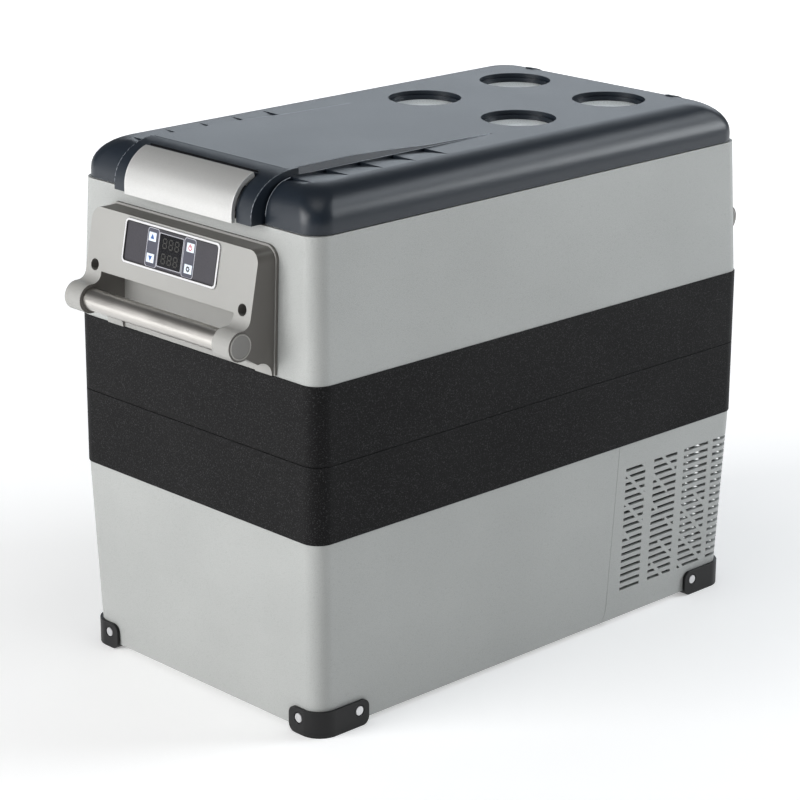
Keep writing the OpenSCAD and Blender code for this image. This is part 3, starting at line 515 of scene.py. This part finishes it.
def panel_frames():
    """Pale printed lines round both key columns and the display, dark outlines of the bezel, key fields."""
    bm = bmesh.new()
    for y in (-COLUMN_Y, COLUMN_Y):
        ring(bm, y, COLUMN_MIDDLE, COLUMN_W, COLUMN_H, 3.2, 0.6, 0.38, 0.55)
    ring(bm, 0, WINDOW_MIDDLE, 34.4, 31.4, 0.8, 0.55, 0.38, 0.86)
    new_piece("panel_lines", bm, MATERIALS["line_pale"], "root")
    bm = bmesh.new()
    ring(bm, 0, PANEL_MIDDLE, 135.0, 42.3, 5.0, 0.6, 0.2, 1.14)
    ring(bm, 0, PANEL_MIDDLE, 130.6, 38.0, 3.4, 0.9, 0.2, 1.24)
    new_piece("bezel_gap", bm, MATERIALS["foot_black"], "root")
    bm = bmesh.new()
    for y in (-COLUMN_Y, COLUMN_Y):
        wall_of(bm, [round_rect(y, COLUMN_MIDDLE, COLUMN_W - 1, COLUMN_H - 1, 2.6)], 0.36, 0.43)
    new_piece("key_fields", bm, MATERIALS["field_blue"], "root")


def segment_digit(bm, y, t, wide, tall, bar):
    """Seven flat bars of one unlit digit."""
    low, high = 0.78, 0.86
    for dt in (-tall / 2, 0, tall / 2):
        wall_of(bm, [round_rect(y, t + dt, wide - bar, bar, bar * 0.3, 2)], low, high)
    for sy in (-1, 1):
        for st in (-1, 1):
            upright = round_rect(y + sy * wide / 2, t + st * tall / 4, bar, tall / 2 - bar, bar * 0.3, 2)
            wall_of(bm, [upright], low, high)


def display_digits():
    """Two rows of three unlit digits behind the display window."""
    bm = bmesh.new()
    for t in DIGIT_ROWS:
        for place in (-1, 0, 1):
            segment_digit(bm, place * DIGIT_PITCH, t, 5.0, 8.6, 1.1)
    new_piece("display_digits", bm, MATERIALS["digit_dim"], "root")


def arrow_symbols():
    """Up and down arrows on the left keys."""
    for name, body, t, way in (("symbol_up", "key_up", 13.4, -1), ("symbol_down", "key_down", LOWER_KEY, 1)):
        bm = bmesh.new()
        base = t - way * 2.0
        tip = t + way * 2.6
        wall_of(bm, [[(KEY_Y - 2.7, base), (KEY_Y + 2.7, base), (KEY_Y, tip)]], *PRINT)
        new_piece(name, bm, MATERIALS["print_blue"], body)


def around(t, r, angle):
    """Point at r and angle from the middle of a right key."""
    return (-KEY_Y + r * math.cos(angle), t + r * math.sin(angle))


def power_symbol():
    """Open ring with a bar in its gap."""
    turns = [math.radians(-60 + 300 * i / 24) for i in range(25)]
    outer = [around(UPPER_KEY, 2.6, a) for a in turns]
    inner = [around(UPPER_KEY, 1.7, a) for a in turns]
    bm = bmesh.new()
    wall_of(bm, [outer + inner[::-1]], *PRINT)
    wall_of(bm, [round_rect(-KEY_Y, UPPER_KEY - 1.8, 0.9, 3.4, 0.3, 2)], *PRINT)
    new_piece("symbol_power", bm, MATERIALS["print_red"], "key_power")


def gear_symbol():
    """Gear with eight teeth and a round hole."""
    corners = range(32)
    turns = [2 * math.pi * i / 32 for i in corners]
    outer = [around(LOWER_KEY, 2.9 if i % 4 in (0, 1) else 2.2, turns[i]) for i in corners]
    hole = [around(LOWER_KEY, 1.1, a) for a in turns]
    bm = bmesh.new()
    wall_of(bm, [outer, hole], *PRINT)
    new_piece("symbol_gear", bm, MATERIALS["print_black"], "key_set")


def cap_rings():
    """Fine raised ring round each cap at the ends of the grip bars."""
    grip_x = 336.5
    grip_z = 380.5
    section = ((12.1, 118.0), (12.0, 118.75), (11.0, 118.75), (10.8, 118.4))
    turns = [2 * math.pi * i / 48 for i in range(48)]
    bm = bmesh.new()
    for sx in (-1, 1):
        for sy in (-1, 1):
            loops = []
            for radius, out in section:
                loops.append([bm.verts.new(Vector((sx * grip_x + radius * math.cos(a), sy * out,
                              grip_z + radius * math.sin(a))) * MM) for a in turns])
            for k, near in enumerate(loops):
                far = loops[(k + 1) % len(loops)]
                for i in range(len(turns)):
                    j = (i + 1) % len(turns)
                    bm.faces.new((near[i], near[j], far[j], far[i]))
    obj = new_piece("cap_rings", bm, MATERIALS["bracket_face"], "root")
    obj.data.shade_smooth()


# ---- painted highlights on the edges of the lid and the latch, and painted shade in the latch's pocket ----

def bead(bm, points, radius, sides=8):
    """Closed thin tube along points."""
    loops = []
    for i, at in enumerate(points):
        ahead = points[min(i + 1, len(points) - 1)]
        behind = points[max(i - 1, 0)]
        along = (ahead - behind).normalized()
        side = along.cross(Vector((0, 1, 0)))
        side = side.normalized() if side.length > 0.01 else Vector((0, 0, 1))
        over = along.cross(side).normalized()
        ends = [2 * math.pi * k / sides for k in range(sides)]
        loops.append([bm.verts.new(at + (side * math.cos(a) + over * math.sin(a)) * radius) for a in ends])
    for near, far in zip(loops, loops[1:]):
        for k in range(sides):
            j = (k + 1) % sides
            bm.faces.new((near[k], near[j], far[j], far[k]))
    bm.faces.new(loops[0][::-1])
    bm.faces.new(loops[-1])


def arc_up(centre, reach, stop, y, steps=18):
    """Upright elliptic arc at y, in mm: from the -X end of its centre up to the angle stop."""
    out = []
    for i in range(steps + 1):
        a = math.radians(stop * i / steps)
        out.append(Vector((centre[0] - reach[0] * math.cos(a), y, centre[1] + reach[1] * math.sin(a))) * MM)
    return out


HEM_Z = 482             # lower end of the beads on the lid and the latch
LID_Z = 518.7           # lid's top beside its raised middle
MIDDLE_Z = 524.6        # top of the raised middle
MIDDLE_BORDER = ((-246, 92.6, MIDDLE_Z), (-173, 92.6, MIDDLE_Z), (-131.5, 93.9, 523.0),
                 (-91, 95.5, 520.8), (-2, 97.0, LID_Z))
MIDDLE_FOOT_X = (-246, -173, -91, -2)


def lid_highlight_beads():
    """Fine rounded beads in a light slate along the lid's crisp edges, painted highlights: the cheeks, the
    grooves and the middle's border.
    """
    bm = bmesh.new()
    for s in (-1, 1):
        cheek_y = s * 96.6
        cheek = [Vector((-303.6, cheek_y, HEM_Z)) * MM] + arc_up((-253, 487), (50.6, 37.6), 86, cheek_y)
        border = [Vector((x, s * y, z)) * MM for x, y, z in MIDDLE_BORDER]
        foot = [Vector((x, s * 97.2, LID_Z)) * MM for x in MIDDLE_FOOT_X]
        shoulder = arc_up((-257.5, 488), (31.7, 30.4), 86, s * 99.9)
        bead(bm, cheek, 0.42 * MM)
        bead(bm, border, 0.32 * MM)
        bead(bm, foot, 0.28 * MM)
        bead(bm, shoulder, 0.42 * MM)
    obj = new_piece("lid_highlight_beads", bm, MATERIALS["lid_edge_highlight"], "lid")
    obj.data.shade_smooth()


def pocket_slot_shade():
    """Black bead along the back of the latch's pocket, painted shade standing for the dark slot behind the
    latch.
    """
    bm = bmesh.new()
    bead(bm, [Vector((-276.8, y, 522.6)) * MM for y in (-75, 75)], 0.9 * MM)
    new_piece("pocket_slot_shade", bm, MATERIALS["slot_shade_black"], "lid")


def latch_highlight_beads():
    """Bright bead along both sides of the latch handle, a painted highlight on its edges."""
    bm = bmesh.new()
    for y in (-75.5, 75.5):
        hem = [Vector((-308.6, y, HEM_Z)) * MM]
        bead(bm, hem + arc_up((-270, 488), (38.6, 36.4), 71, y), 0.48 * MM)
    obj = new_piece("latch_highlight_beads", bm, MATERIALS["bezel_silver"], "latch")
    obj.data.shade_smooth()


# ---- the whole ----

EDGE_WIDTHS = {
    "front_handle_bracket": 2.2,
    "rear_handle_bracket": 2.2,
    "front_left_foot": 0.9,
    "front_right_foot": 0.9,
    "rear_left_foot": 0.9,
    "rear_right_foot": 0.9,
    "lower_band": 0.5,
    "upper_band": 0.5,
    "lower_shell": 0.5,
    "upper_shell": 0.5,
    "latch_handle": 1.0,
    "display_bezel": 0.35,
    "key_up": 0.3,
    "key_down": 0.3,
    "key_power": 0.3,
    "key_set": 0.3,
}

camera()
studio()
dress()
lid_highlight_beads()
pocket_slot_shade()
latch_highlight_beads()
nodes["grip_caps"].material_slots[0].material = MATERIALS["cap_grey"]
cap_rings()
panel_frames()
display_digits()
arrow_symbols()
power_symbol()
gear_symbol()
for part, width in EDGE_WIDTHS.items():
    soften(part, width * MM)
smooth_shade("lid_shell", 24)
